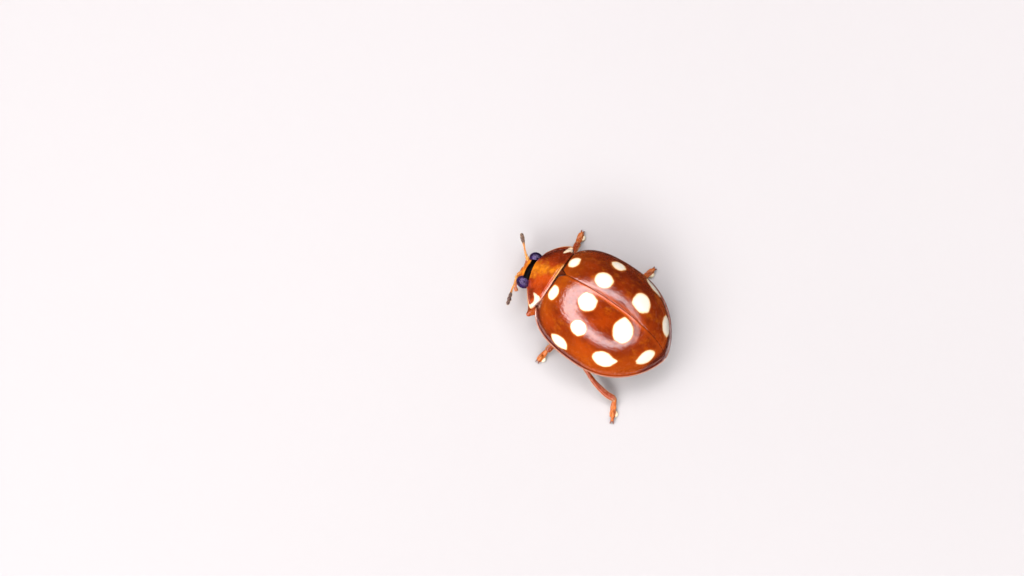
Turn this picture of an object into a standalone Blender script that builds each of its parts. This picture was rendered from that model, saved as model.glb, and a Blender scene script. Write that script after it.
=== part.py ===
"""A cream-spot ladybird at life size, standing on the floor with its head towards -Y.

+Z is up and +X is the beetle's left. Each shell plate, eye, feeler and leg segment is its
own closed solid. The sizes below are in millimetres, and the meshes are made in metres.
"""

import math

import bmesh
import bpy
from mathutils import Matrix, Vector

MM = 0.001
GAP = 0.016                     # clearance between neighbouring solids

# Wing cases: a dome over an oval plan, widest at y = 0
RIM_HEIGHT = 0.80               # the floor to the lower edge of the wing cases
HALF_WIDTH = 1.80
DOME_HEIGHT = 1.57              # above the lower edge
SHELL = 0.50                    # thickness of the wing case solids
FRONT_PLAN = (2.00, 2.46, 0.28)     # width falls as (1 - (y / length)**power)**root
REAR_PLAN = (2.25, 2.25, 0.66)
FRONT_PROFILE = (2.35, 2.20, 0.50)  # and so does the height along the midline
REAR_PROFILE = (2.25, 2.00, 0.59)
SECTION = (2.12, 0.533)         # the height across falls as (1 - t**power)**root
BASE_Y = -1.84                  # front edge of the wing cases on the midline
BASE_SWEEP = 0.05               # how far that edge runs forward, per mm squared of x
WING_EDGE = 0.03                # thickness of the outer edge
WING_TIP = 0.006                # the tips are blunt by this much
HOLLOW_SHARE = 0.75             # share of the columns that lie over the hollow
HOLLOW_LEAST = 0.40             # the hollow keeps this share of the width near the tips
EVEN_SHARE = 0.40               # share of even spacing in the rows, the rest crowds rearwards
SCUTELLUM_HALF = 0.19
SCUTELLUM_LENGTH = 0.21
SCUTELLUM_POINT = 0.15          # width left at its point, as a share of the base
SCUTELLUM_TUCK = 0.004          # its base reaches this far ahead of the wing cases

# Trunk under the wing cases
TRUNK_INSET = 0.53
BELLY_DEPTH = 0.20              # the underside hangs this far below the wing cases' edge
BELLY_TAPER = 4                 # power by which the belly rises to the rear
WAIST_Y = 0.15                  # where the thorax meets the abdomen

# Pronotum and the thorax ring below it
PRONOTUM_REAR = 1.17            # half widths at its two ends
PRONOTUM_FRONT = 0.58
PRONOTUM_FRONT_Y = -2.57
PRONOTUM_SKEW = 0.10            # its front lies this far to the left
PRONOTUM_REAR_Z = 1.80          # heights of the midline at its two ends
PRONOTUM_FRONT_Z = 1.12
PRONOTUM_SIDE_Z = (0.90, 0.82)  # side margin, rear and front
PRONOTUM_EDGE = 0.06
PRONOTUM_TAPER = 1.9            # power of the narrowing to the front
PRONOTUM_SLOPE = 1.25           # power of the midline's fall to the front
PRONOTUM_ARCH = (2.2, 0.55)     # the height across falls as (1 - t**power)**root
PROTHORAX_INSET = 0.16
PROTHORAX_SPAN = (0.03, 0.95)   # shares of the pronotum's length that it lies under
PROTHORAX_ARCH = 0.6            # how much its underside rises to the sides

# Head, turned a little towards the left about the neck
NECK = (0.06, -1.75)
HEAD_TURN = math.radians(6)
HEAD_CENTRE = (0.0, -2.62, 0.71)
HEAD_RADII = (0.54, 0.37, 0.37)
EYE_CENTRE = (0.43, -2.68, 0.80)
EYE_RADII = (0.19, 0.22, 0.215)
MOUTH_CENTRE = (0.0, -2.85, 0.49)
MOUTH_RADII = (0.29, 0.18, 0.17)

# Feelers and palps: points from root to tip, with the radius at each
ANTENNA_LEFT = [(0.38, -2.93, 0.64, 0.17), (0.73, -2.87, 0.62, 0.17),
                (1.10, -2.74, 0.58, 0.19), (1.36, -2.63, 0.54, 0.22)]
ANTENNA_RIGHT = [(-0.14, -2.98, 0.64, 0.17), (-0.36, -3.15, 0.62, 0.17),
                 (-0.61, -3.38, 0.58, 0.19), (-0.78, -3.52, 0.54, 0.22)]
PALP = [(0.27, -2.91, 0.32, 0.15), (0.47, -2.85, 0.27, 0.155), (0.66, -2.73, 0.26, 0.17)]

# Legs: hip, knee, ankle and claw of each, on the floor at z = 0
HIP_Z, KNEE_Z, ANKLE_Z, CLAW_Z = 0.37, 0.47, 0.26, 0.14
LEGS = {
    "front_left": [(0.40, -1.62), (1.20, -1.93), (0.62, -2.22), (0.12, -2.32)],
    "middle_left": [(0.44, -1.16), (0.95, -0.55), (1.77, -0.87), (2.17, -0.91)],
    "hind_left": [(0.44, -0.06), (1.62, 0.37), (1.83, 1.68), (2.44, 2.00)],
    "front_right": [(-0.22, -2.00), (-0.86, -1.76), (-1.64, -1.97), (-2.08, -2.06)],
    "middle_right": [(-0.44, -1.16), (-1.18, -1.28), (-1.72, -0.95), (-1.95, -0.62)],
    "hind_right": [(-0.44, -0.06), (-1.22, -0.62), (-1.93, 0.29), (-2.43, 0.42)],
}
FEMUR_RADII = (0.18, 0.24, 0.22)
TIBIA_RADII = (0.21, 0.21, 0.235)
TARSUS_RADII = (0.21, 0.20, 0.15)
LEG_SIDES = 12
FEELER_SIDES = 10

ORANGE = (0.50, 0.13, 0.02)
PALE_ORANGE = (0.60, 0.22, 0.05)
BROWN = (0.28, 0.07, 0.02)
BLACK = (0.02, 0.015, 0.03)


# ---------------------------------------------------------------- helpers

def clear_scene():
    for obj in list(bpy.data.objects):
        bpy.data.objects.remove(obj, do_unlink=True)


def collection(name):
    made = bpy.data.collections.new(name)
    bpy.context.scene.collection.children.link(made)
    return made


def material(name, colour, roughness):
    made = bpy.data.materials.new(name)
    made.use_nodes = True
    shader = made.node_tree.nodes["Principled BSDF"]
    shader.inputs["Base Color"].default_value = (*colour, 1.0)
    shader.inputs["Roughness"].default_value = roughness
    shader.inputs["Metallic"].default_value = 0.0
    return made


def add_object(name, bm, group, colour=None, roughness=0.3):
    """Scale a millimetre bmesh to metres and put it in the group as a smooth object."""
    bmesh.ops.recalc_face_normals(bm, faces=bm.faces)
    bmesh.ops.scale(bm, vec=(MM, MM, MM), verts=bm.verts)
    mesh = bpy.data.meshes.new(name)
    bm.to_mesh(mesh)
    bm.free()
    mesh.shade_smooth()
    obj = bpy.data.objects.new(name, mesh)
    group.objects.link(obj)
    if colour:
        mesh.materials.append(material(name, colour, roughness))
    return obj


def add_cutter(name, bm):
    obj = add_object(name, bm, cutters)
    obj.hide_render = True
    obj.display_type = "WIRE"
    return obj


def cut(obj, cutter):
    boolean = obj.modifiers.new("cut_" + cutter.name, "BOOLEAN")
    boolean.operation = "DIFFERENCE"
    boolean.solver = "EXACT"
    boolean.object = cutter


def box(low, high):
    """A bmesh block between two corners."""
    bm = bmesh.new()
    bmesh.ops.create_cube(bm, size=1.0)
    for vert in bm.verts:
        vert.co = [a + (b - a) * (c + 0.5) for a, b, c in zip(low, high, vert.co)]
    return bm


def ellipsoid(centre, radii, segments, rings, grow=0.0):
    bm = bmesh.new()
    bmesh.ops.create_uvsphere(bm, u_segments=segments, v_segments=rings, radius=1.0)
    for vert in bm.verts:
        vert.co = [c + v * (r + grow) for c, v, r in zip(centre, vert.co, radii)]
    return bm


def slab(top, under, columns, rows):
    """A closed plate between two surfaces, each a function of u across and v along."""
    bm = bmesh.new()
    sheets = []
    for surface in (top, under):
        sheets.append([[bm.verts.new(surface(2 * i / columns - 1, j / rows))
                        for i in range(columns + 1)] for j in range(rows + 1)])
    for sheet in sheets:
        for j in range(rows):
            for i in range(columns):
                bm.faces.new((sheet[j][i], sheet[j][i + 1], sheet[j + 1][i + 1], sheet[j + 1][i]))
    edge = [(0, i) for i in range(columns)] + [(j, columns) for j in range(rows)]
    edge += [(rows, i) for i in range(columns, 0, -1)] + [(j, 0) for j in range(rows, 0, -1)]
    for (j, i), (next_j, next_i) in zip(edge, edge[1:] + edge[:1]):
        bm.faces.new((sheets[0][j][i], sheets[0][next_j][next_i],
                      sheets[1][next_j][next_i], sheets[1][j][i]))
    return bm


def rounded_end(tip, along, radius):
    """Two closing rings for a tube that ends at tip."""
    turns = (math.radians(38), math.radians(70))
    return [(tip + along * radius * math.sin(turn), along, radius * math.cos(turn))
            for turn in turns]


def tube(rings, sides, flat_under=None):
    """A closed tube through (centre, plane normal, radius) rings; flat_under floors its base."""
    bm = bmesh.new()
    loops = []
    for centre, normal, radius in rings:
        across = normal.cross(Vector((0, 0, 1))).normalized()
        over = across.cross(normal).normalized()
        loop = []
        for k in range(sides):
            angle = 2 * math.pi * (k + 0.5) / sides
            point = centre + radius * (math.cos(angle) * across + math.sin(angle) * over)
            if flat_under is not None:
                point.z = max(point.z, flat_under)
            loop.append(bm.verts.new(point))
        loops.append(loop)
    for first, second in zip(loops, loops[1:]):
        for k in range(sides):
            bm.faces.new((first[k], first[k - 1], second[k - 1], second[k]))
    bm.faces.new(loops[0])
    bm.faces.new(reversed(loops[-1]))
    return bm


# ---------------------------------------------------------------- body surfaces

def fall(y, front, rear, inset):
    """1 at the widest place, falling to 0 at the two ends; an inset shortens the rear."""
    length, power, root = front if y < 0 else (rear[0] - inset, *rear[1:])
    return max(0.0, 1 - abs(y / length) ** power) ** root


def dome_half_width(y, inset=0.0):
    """Half the width of the dome's plan at y."""
    return (HALF_WIDTH - inset) * fall(y, FRONT_PLAN, REAR_PLAN, inset)


def dome_height(x, y, inset=0.0):
    """Height of the dome's surface above a point of the floor, or its edge outside it."""
    width = dome_half_width(y, inset)
    if abs(x) >= width:
        return RIM_HEIGHT
    power, root = SECTION
    profile = fall(y, FRONT_PROFILE, REAR_PROFILE, inset)
    return RIM_HEIGHT + (DOME_HEIGHT - inset) * profile * (1 - abs(x / width) ** power) ** root


def base_line(x):
    """Front edge of the wing cases."""
    return BASE_Y - BASE_SWEEP * x * x


# ---------------------------------------------------------------- wing cases and trunk

def scutellum_half_width(y):
    """Half width of the small triangle between the bases of the wing cases."""
    return SCUTELLUM_HALF * (1 - (1 - SCUTELLUM_POINT) * (y - BASE_Y) / SCUTELLUM_LENGTH)


def wing_case(side):
    """One wing case, from the midline to the edge, with the hollow for the body inside."""
    last_y = REAR_PLAN[0] - WING_TIP

    def y_at(u, v):
        x_share = (u + 1) / 2
        front = base_line(x_share * PRONOTUM_REAR)
        eased = EVEN_SHARE * v + (1 - EVEN_SHARE) * math.sin(v * math.pi / 2)
        return front + eased * (last_y - front)

    def midline_edge(y):
        notch = GAP + scutellum_half_width(y) if y < BASE_Y + SCUTELLUM_LENGTH else 0.0
        return max(GAP / 2, notch)

    def top(u, v):
        y = y_at(u, v)
        inner, outer = midline_edge(y), dome_half_width(y)
        x = inner + math.sin((u + 1) * math.pi / 4) * (outer - inner)
        return (side * x, y, max(RIM_HEIGHT + WING_EDGE, dome_height(x, y)))

    def under(u, v):
        y = y_at(u, v)
        inner, outer = midline_edge(y), dome_half_width(y)
        hollow = max(dome_half_width(y, SHELL), HOLLOW_LEAST * outer)
        share = (u + 1) / 2
        x = inner + math.sin(min(1.0, share / HOLLOW_SHARE) * math.pi / 2) * (hollow - inner)
        if share > HOLLOW_SHARE:
            x = hollow + (share - HOLLOW_SHARE) / (1 - HOLLOW_SHARE) * (outer - hollow)
        return (side * x, y, dome_height(x, y, SHELL))
    return slab(top, under, 12, 20)


def make_wing_cases():
    for side, name in ((1, "left"), (-1, "right")):
        add_object("elytron_" + name, wing_case(side), parts, ORANGE, 0.18)


def make_scutellum():
    """A small triangle with its point to the rear, lying on the dome's slope."""
    def surface(drop):
        def place(u, v):
            y = BASE_Y - SCUTELLUM_TUCK + v * SCUTELLUM_LENGTH
            x = u * scutellum_half_width(y)
            return (x, y, dome_height(x, y) - drop)
        return place
    bm = slab(surface(0.0), surface(SHELL), 4, 4)
    add_object("scutellum", bm, parts, BROWN, 0.3)


def trunk_back(x, y):
    return max(RIM_HEIGHT + WING_EDGE, dome_height(x, y, TRUNK_INSET))


def trunk_belly(x, y):
    """The underside, rounded across and rising to the rear."""
    across = abs(x) / dome_half_width(y, TRUNK_INSET)
    along = max(0.0, y) / (REAR_PLAN[0] - TRUNK_INSET)
    return RIM_HEIGHT - BELLY_DEPTH * (1 - along ** BELLY_TAPER) * (1 - across ** 3)


def trunk_length(name, front_y, rear_y, rows):
    """One length of the trunk; the foremost follows the base of the wing cases."""
    def surface(height):
        def place(u, v):
            across = math.sin(u * math.pi / 2)
            front = front_y
            if front is None:
                front = base_line(across * PRONOTUM_REAR) + 2 * GAP
            y = front + math.sin(v * math.pi / 2) * (rear_y - front)
            x = across * dome_half_width(y, TRUNK_INSET)
            return (x, y, height(x, y))
        return place
    add_object(name, slab(surface(trunk_back), surface(trunk_belly), 16, rows), parts, BROWN, 0.4)


def make_trunk():
    """The thorax and the abdomen, parted across the waist."""
    last_y = REAR_PLAN[0] - TRUNK_INSET - 2 * WING_TIP
    trunk_length("thorax", None, WAIST_Y - GAP / 2, 10)
    trunk_length("abdomen", WAIST_Y + GAP / 2, last_y, 12)


def pronotum_half_width(v):
    return PRONOTUM_REAR - (PRONOTUM_REAR - PRONOTUM_FRONT) * v ** PRONOTUM_TAPER


def pronotum_xy(u, v, inset=0.0):
    rear = base_line(u * PRONOTUM_REAR) - GAP
    x = u * (pronotum_half_width(v) - inset) + PRONOTUM_SKEW * v
    return x, rear + v * (PRONOTUM_FRONT_Y - rear)


def pronotum_side(v):
    rear, front = PRONOTUM_SIDE_Z
    return rear + v * (front - rear)


def make_pronotum():
    def top(u, v):
        slope = 1 - v ** PRONOTUM_SLOPE
        middle = PRONOTUM_FRONT_Z + (PRONOTUM_REAR_Z - PRONOTUM_FRONT_Z) * slope
        side = pronotum_side(v) + PRONOTUM_EDGE
        power, root = PRONOTUM_ARCH
        arch = max(0.0, 1 - abs(u) ** power) ** root
        return (*pronotum_xy(u, v), side + (middle - side) * arch)

    def under(u, v):
        return (*pronotum_xy(u, v), pronotum_side(v))

    def spread(surface):
        return lambda u, v: surface(math.sin(u * math.pi / 2), v)
    add_object("pronotum", slab(spread(top), spread(under), 20, 8), parts, ORANGE, 0.2)


def make_prothorax():
    """The ring of thorax below the pronotum, that carries the front legs and the neck."""
    rear, front = PROTHORAX_SPAN

    def surface(height):
        def place(u, v):
            along = rear + v * (front - rear)
            return (*pronotum_xy(u, along, PROTHORAX_INSET), height(u, along))
        return place

    def top(u, along):
        return pronotum_side(along) - GAP

    def lowest(u, along):
        return RIM_HEIGHT - BELLY_DEPTH * (1 - PROTHORAX_ARCH * u * u) - GAP
    add_object("prothorax", slab(surface(top), surface(lowest), 10, 4), parts, BROWN, 0.4)


# ---------------------------------------------------------------- head

def make_head():
    """The head turns about the neck; its rear is closed off by the pronotum."""
    neck = bpy.data.objects.new("neck", None)
    neck.location = (NECK[0] * MM, NECK[1] * MM, 0.0)
    neck.rotation_euler = (0.0, 0.0, HEAD_TURN)
    parts.objects.link(neck)
    at_neck = Matrix.Translation((0.0, -NECK[1] * MM, 0.0))

    def hang(obj):
        obj.data.transform(at_neck)
        obj.parent = neck
        return obj

    behind = add_cutter("behind_head", box((-2, PRONOTUM_FRONT_Y - GAP, -1), (2, 2, 3)))
    head = hang(add_object("head", ellipsoid(HEAD_CENTRE, HEAD_RADII, 32, 18), parts, BLACK))
    cut(head, behind)
    room = ellipsoid(MOUTH_CENTRE, MOUTH_RADII, 20, 12, GAP)
    mouth_room = hang(add_cutter("mouth_room", room))
    mouth = ellipsoid(MOUTH_CENTRE, MOUTH_RADII, 20, 12)
    hang(add_object("mouth", mouth, parts, PALE_ORANGE))
    cut(head, mouth_room)

    rooms = [head_room(hang), mouth_room]
    for side, name in ((1, "left"), (-1, "right")):
        centre = (side * EYE_CENTRE[0], EYE_CENTRE[1], EYE_CENTRE[2])
        eye_room = ellipsoid(centre, EYE_RADII, 18, 12, GAP)
        eye_room = hang(add_cutter("eye_room_" + name, eye_room))
        eye = hang(add_object("eye_" + name, ellipsoid(centre, EYE_RADII, 18, 12), parts, BLACK))
        cut(eye, behind)
        cut(head, eye_room)
        rooms.append(eye_room)
    return rooms


def head_room(hang):
    """A slightly larger head, which hollows the roots of the feelers and palps."""
    return hang(add_cutter("head_room", ellipsoid(HEAD_CENTRE, HEAD_RADII, 32, 18, GAP)))


def feeler(name, points, colour, rooms):
    """A rounded tube along the points, cut back where it meets the head."""
    centres = [Vector(point[:3]) for point in points]
    radii = [point[3] for point in points]
    rings = [(centres[0], (centres[1] - centres[0]).normalized(), radii[0])]
    for k in range(1, len(centres)):
        along = (centres[k] - centres[k - 1]).normalized()
        if k < len(centres) - 1:
            along = (centres[k + 1] - centres[k - 1]).normalized()
        rings.append((centres[k], along, radii[k]))
    tip, along, radius = rings[-1]
    rings += rounded_end(tip, along, radius)
    obj = add_object(name, tube(rings, FEELER_SIDES), parts, colour)
    for room in rooms:
        cut(obj, room)
    return obj


def make_feelers(rooms):
    feeler("antenna_left", ANTENNA_LEFT, PALE_ORANGE, rooms)
    feeler("antenna_right", ANTENNA_RIGHT, PALE_ORANGE, rooms)
    turn = Matrix.Translation((*NECK, 0)) @ Matrix.Rotation(HEAD_TURN, 4, "Z")
    turn = turn @ Matrix.Translation((0, -NECK[1], 0))
    for side, name in ((1, "left"), (-1, "right")):
        points = [(*(turn @ Vector((side * x, y, z))), radius) for x, y, z, radius in PALP]
        feeler("palp_" + name, points, PALE_ORANGE, rooms)


# ---------------------------------------------------------------- legs

def mitre(before, joint, after):
    """Normal of the plane that halves the bend at a joint."""
    return ((joint - before).normalized() + (after - joint).normalized()).normalized()


def segment(start, end, radii, start_plane, end_plane, flat_under=None, round_tip=False):
    """A leg segment between two joints, parted from its neighbours by a thin cut."""
    along = (end - start).normalized()
    first = start + along * GAP / 2 / along.dot(start_plane)
    last = end - along * GAP / 2 / along.dot(end_plane)
    start_r, mid_r, end_r = radii
    rings = [(first, start_plane, start_r),
             (first.lerp(last, 0.3), along, (start_r + mid_r) / 2),
             (first.lerp(last, 0.5), along, mid_r),
             (first.lerp(last, 0.7), along, (mid_r + end_r) / 2),
             (last, end_plane, end_r)]
    if round_tip:
        rings += rounded_end(last, along, end_r)
    return tube(rings, LEG_SIDES, flat_under)


def make_leg(name, plan):
    heights = (HIP_Z, KNEE_Z, ANKLE_Z, CLAW_Z)
    hip, knee, ankle, claw = (Vector((x, y, z)) for (x, y), z in zip(plan, heights))
    hip_plane = (knee - hip).normalized()
    knee_plane = mitre(hip, knee, ankle)
    ankle_plane = mitre(knee, ankle, claw)
    claw_plane = (claw - ankle).normalized()
    femur = segment(hip, knee, FEMUR_RADII, hip_plane, knee_plane)
    tibia = segment(knee, ankle, TIBIA_RADII, knee_plane, ankle_plane)
    foot = segment(ankle, claw, TARSUS_RADII, ankle_plane, claw_plane, 0.0, True)
    add_object("femur_" + name, femur, parts, ORANGE)
    add_object("tibia_" + name, tibia, parts, ORANGE)
    add_object("tarsus_" + name, foot, parts, PALE_ORANGE)


def make_legs():
    for name, plan in LEGS.items():
        make_leg(name, plan)


# ---------------------------------------------------------------- whole model

def centre_on_floor():
    """Move everything so that the middle of the model's plan is at the origin."""
    bpy.context.view_layer.update()
    depsgraph = bpy.context.evaluated_depsgraph_get()
    solids = [obj.evaluated_get(depsgraph) for obj in parts.objects if obj.type == "MESH"]
    points = [obj.matrix_world @ vert.co for obj in solids for vert in obj.data.vertices]
    for axis in (0, 1):
        values = [point[axis] for point in points]
        middle = (min(values) + max(values)) / 2
        for obj in bpy.data.objects:
            if obj.parent is None:
                obj.location[axis] -= middle


clear_scene()
parts = collection("ladybird")
cutters = collection("cutters")
make_wing_cases()
make_trunk()
make_scutellum()
make_pronotum()
make_prothorax()
make_feelers(make_head())
make_legs()
centre_on_floor()
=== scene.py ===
"""The looks of a cream-spot ladybird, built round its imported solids.

Lengths here are millimetres in the beetle's own frame: x is 0 on the midline and grows to its
left, y is 0 at its widest place and grows to the rear, and z is 0 on the floor. Every piece is
a closed mesh, or several closed shells that overlap as chitin plates and segments do.
"""

import math

import bmesh
import bpy
import numpy as np
from mathutils import Matrix, Vector
from mathutils.kdtree import KDTree


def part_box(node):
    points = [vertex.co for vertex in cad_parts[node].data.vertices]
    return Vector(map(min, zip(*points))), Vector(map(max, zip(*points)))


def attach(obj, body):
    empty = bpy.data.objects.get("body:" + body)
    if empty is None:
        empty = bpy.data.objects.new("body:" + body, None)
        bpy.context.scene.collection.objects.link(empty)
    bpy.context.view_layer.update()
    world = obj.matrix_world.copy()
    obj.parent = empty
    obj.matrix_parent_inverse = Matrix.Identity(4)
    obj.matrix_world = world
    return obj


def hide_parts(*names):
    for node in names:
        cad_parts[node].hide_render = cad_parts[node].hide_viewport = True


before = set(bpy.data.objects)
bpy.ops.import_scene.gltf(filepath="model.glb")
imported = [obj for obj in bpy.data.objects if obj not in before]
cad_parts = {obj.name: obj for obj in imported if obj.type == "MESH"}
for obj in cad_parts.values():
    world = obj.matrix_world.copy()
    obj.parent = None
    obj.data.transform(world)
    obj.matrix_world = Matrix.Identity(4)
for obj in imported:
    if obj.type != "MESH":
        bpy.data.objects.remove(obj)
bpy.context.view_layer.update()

MM = 0.001

# The dome of the wing cases, as the solids have it
RIM_HEIGHT = 0.8
HALF_WIDTH = 1.8
DOME_HEIGHT = 1.57
FRONT_PLAN = (2.00, 2.46, 0.28)     # width falls as (1 - (y / length)**power)**root
REAR_PLAN = (2.25, 2.25, 0.66)
FRONT_PROFILE = (2.35, 2.2, 0.5)    # and so does the height along the midline
REAR_PROFILE = (2.25, 2.00, 0.59)
SECTION = (2.12, 0.533)             # and so does the height across, by power and root
BASE_Y = -1.84
BASE_SWEEP = 0.05
WING_TIP = 0.006

# What the solids leave out of the wing cases
HALF_GAP = 0.0015               # half the seam between them, nearly shut
SEAM_GROOVE = (0.007, 0.04)     # depth of the groove along the seam, and its reach from it
SHOULDER_Y = -1.892             # where the front edge meets the outline
SUTURE_SHARE = 0.36             # how far along the midline the rows of the mesh start
MARGIN = 0.085                  # width of the flared edge
MARGIN_HEIGHT = 0.04            # its height at its root, then its dip and its raised outer line
MARGIN_DIP = 0.022
MARGIN_ROLL = 0.012
EPIPLEURON = 0.42               # width of the turned-in edge below
SHELL = 0.09

SCUTELLUM_HALF = 0.15
SCUTELLUM_LENGTH = 0.2

PRONOTUM_HALVES = (1.21, 0.55)  # half widths at its rear and its front
PRONOTUM_FRONT_Y = -2.66
PRONOTUM_TAPER = 1.9
PRONOTUM_SKEW = (-0.03, 0.11)   # how far its rear and its front lie to the left
PRONOTUM_SLANT = 0.16           # how far back its left front corner lies, per mm of x
PRONOTUM_TOP_Z = (1.8, 1.08)
PRONOTUM_SIDE_Z = (0.9, 0.82)
PRONOTUM_EDGE = 0.06
PRONOTUM_GAP = 0.016
PRONOTUM_BOW = 0.11             # how far the front edge runs forward in the middle
PRONOTUM_FLANGE = 0.1           # width of the flat side margin

NECK = (0.06, -1.75)
HEAD_TURN = math.radians(6)
HEAD_CENTRE = (0.0, -2.6, 0.71)
HEAD_RADII = (0.53, 0.305, 0.36)
EYE_CENTRE = (0.425, -2.68, 0.8)
EYE_RADII = (0.19, 0.22, 0.21)

SIDES = ((1, "left"), (-1, "right"))
UP = np.array([0.0, 0.0, 1.0])

left_low, left_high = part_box("elytron_left")
right_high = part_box("elytron_right")[1]
HOME = np.array([(left_low.x + right_high.x) / 2,
                 left_high.y - (REAR_PLAN[0] - WING_TIP) * MM, 0])

random = np.random.default_rng(14)


# Mesh helpers

def unit(rows):
    rows = np.asarray(rows, float)
    return rows / np.maximum(np.linalg.norm(rows, axis=-1, keepdims=True), 1e-12)


def blend(low, high, value):
    """0 below low, 1 above high, and smooth between."""
    t = np.clip((np.asarray(value, float) - low) / (high - low), 0, 1)
    return t * t * (3 - 2 * t)


def from_to(first, last, share):
    return first + share * (last - first)


def bell(value, middle, width):
    """1 in the middle, falling to almost 0 two widths away."""
    return np.exp(-((value - middle) / width) ** 2)


def smooth_max(a, b, soft):
    near = np.maximum(soft - np.abs(a - b), 0) / soft
    return np.maximum(a, b) + near * near * soft / 4


class Shape:
    """Points and faces of one or more closed shells, with numbers kept for the paint."""

    def __init__(self):
        self.points = np.zeros((0, 3))
        self.faces = []
        self.fields = {}

    def add(self, points, faces, **fields):
        start, points = len(self.points), np.asarray(points, float)
        for name in set(self.fields) | set(fields):
            old = self.fields.get(name, np.zeros(start))
            new = np.broadcast_to(fields.get(name, 0.0), len(points))
            self.fields[name] = np.concatenate((old, new))
        self.points = np.vstack((self.points, points))
        self.faces += [tuple(start + k for k in face) for face in faces]
        return self


def add_object(name, data):
    obj = bpy.data.objects.new(name, data)
    bpy.context.scene.collection.objects.link(obj)
    return obj


def add_mesh(name, points, faces, paint):
    mesh = bpy.data.meshes.new(name)
    mesh.from_pydata(points, [], faces)
    mesh.shade_smooth()
    mesh.materials.append(paint)
    return add_object(name, mesh)


def make_piece(name, shape, paint, slot, *nodes):
    """One object from a shape, riding on the beetle and standing for the named solids."""
    points = np.maximum(shape.points, (-math.inf, -math.inf, 0))    # nothing is below the floor
    obj = add_mesh(name, (points * MM + HOME).tolist(), shape.faces, paint)
    mesh = obj.data
    for field, values in shape.fields.items():
        layer = mesh.attributes.new(field, "FLOAT", "POINT")
        layer.data.foreach_set("value", np.ascontiguousarray(values, np.float32))
    bm = bmesh.new()
    bm.from_mesh(mesh)
    bmesh.ops.recalc_face_normals(bm, faces=bm.faces)
    bm.to_mesh(mesh)
    bm.free()
    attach(obj, "root")
    if nodes:
        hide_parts(*nodes)
    return obj


def grid(columns, rows):
    """Shares across and along for a grid of that many cells."""
    return np.meshgrid(np.linspace(0, 1, columns + 1), np.linspace(0, 1, rows + 1))


def crowded_grid(columns, rows):
    """Places across, from -1 to 1 and closest at the sides, shares along, and shares sideways."""
    u, v = grid(columns, rows)
    u = np.sin((2 * u - 1) * math.pi / 2)
    return u, v, np.abs(u)


def sheet(x, y, z):
    """Points from their places along each axis."""
    return np.stack(np.broadcast_arrays(x, y, z), -1)


def slab(x, y, top, under):
    """Points and faces of a closed plate over a grid of plan places, between two heights."""
    count = x.size
    index = np.arange(count).reshape(x.shape)
    quads = np.stack((index[:-1, :-1], index[:-1, 1:], index[1:, 1:], index[1:, :-1]), -1).reshape(-1, 4)
    edge = np.concatenate((index[0, :-1], index[:-1, -1], index[-1, :0:-1], index[:0:-1, 0]))
    after = np.roll(edge, -1)
    walls = np.stack((edge, edge + count, after + count, after), -1)
    faces = np.vstack((quads, quads[:, (0, 3, 2, 1)] + count, walls))
    return np.vstack([sheet(x, y, z).reshape(-1, 3) for z in (top, under)]), faces.tolist()


def plate(x, y, top, under, **fields):
    """The shape of a slab, with numbers for each place of the grid on both of its faces."""
    for name, values in fields.items():
        fields[name] = np.tile(np.broadcast_to(values, x.shape).ravel(), 2)
    return Shape().add(*slab(x, y, top, under), **fields)


def smooth_line(rows, count):
    """Rows of numbers on a Catmull-Rom curve through the given rows."""
    rows = np.asarray(rows, float)
    padded = np.vstack((2 * rows[0] - rows[1], rows, 2 * rows[-1] - rows[-2]))
    places = np.linspace(0, len(rows) - 1, count)
    whole = np.minimum(places.astype(int), len(rows) - 2)
    t = (places - whole)[:, None]
    a, b, c, d = (padded[whole + k] for k in range(4))
    return 0.5 * (2 * b + (c - a) * t + (2 * a - 5 * b + 4 * c - d) * t**2
                  + (3 * b - a - 3 * c + d) * t**3)


def ring_faces(rings, sides):
    """Faces that join each ring of points to the next."""
    return [(start + j, start + (j + 1) % sides, start + sides + (j + 1) % sides, start + sides + j)
            for start in range(0, (rings - 1) * sides, sides) for j in range(sides)]


END_TURNS = np.radians([82, 62, 40, 20])


def sweep(rows, steps=20, sides=16, bulge=(1.0, 1.0)):
    """A closed limb along rows of (x, y, z, half width, half height), with rounded ends."""
    line = smooth_line(rows, steps)
    centres, halves = line[:, :3], np.maximum(line[:, 3:5], 0.002)
    along = unit(np.gradient(centres, axis=0))
    rings = []
    for end, sign, turns in ((0, -1, END_TURNS), (-1, 1, END_TURNS[::-1])):
        reach = halves[end].min() * bulge[end]
        rings.append([(centres[end] + sign * along[end] * reach * math.sin(turn),
                       along[end], halves[end] * math.cos(turn)) for turn in turns])
    path = rings[0] + list(zip(centres, along, halves)) + rings[1]
    angles = 2 * math.pi * (np.arange(sides) + 0.5) / sides
    centres, along, halves = (np.array(part)[:, None] for part in zip(*path))
    across = unit(np.cross(along, UP))
    over = np.cross(across, along)
    half_width, half_height = halves[..., :1], halves[..., 1:]
    points = (centres + half_width * np.cos(angles)[:, None] * across
              + half_height * np.sin(angles)[:, None] * over)
    last = (len(path) - 1) * sides
    faces = [range(sides), range(last, last + sides)] + ring_faces(len(path), sides)
    return points.reshape(-1, 3), faces


def ball(centre=(0, 0, 0), radii=(1, 1, 1), level=4):
    """An ellipsoid of even triangles."""
    bm = bmesh.new()
    bmesh.ops.create_icosphere(bm, subdivisions=level, radius=1.0)
    points = np.array([vert.co for vert in bm.verts])
    faces = [tuple(vert.index for vert in face.verts) for face in bm.faces]
    bm.free()
    return np.asarray(centre) + points * np.asarray(radii), faces


def gaps(places, points):
    """How far each point is from the nearest of some places."""
    tree = KDTree(len(places))
    for k, place in enumerate(places):
        tree.insert(place, k)
    tree.balance()
    return np.array([tree.find(point)[2] for point in points])


# Places read from the solids

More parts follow.
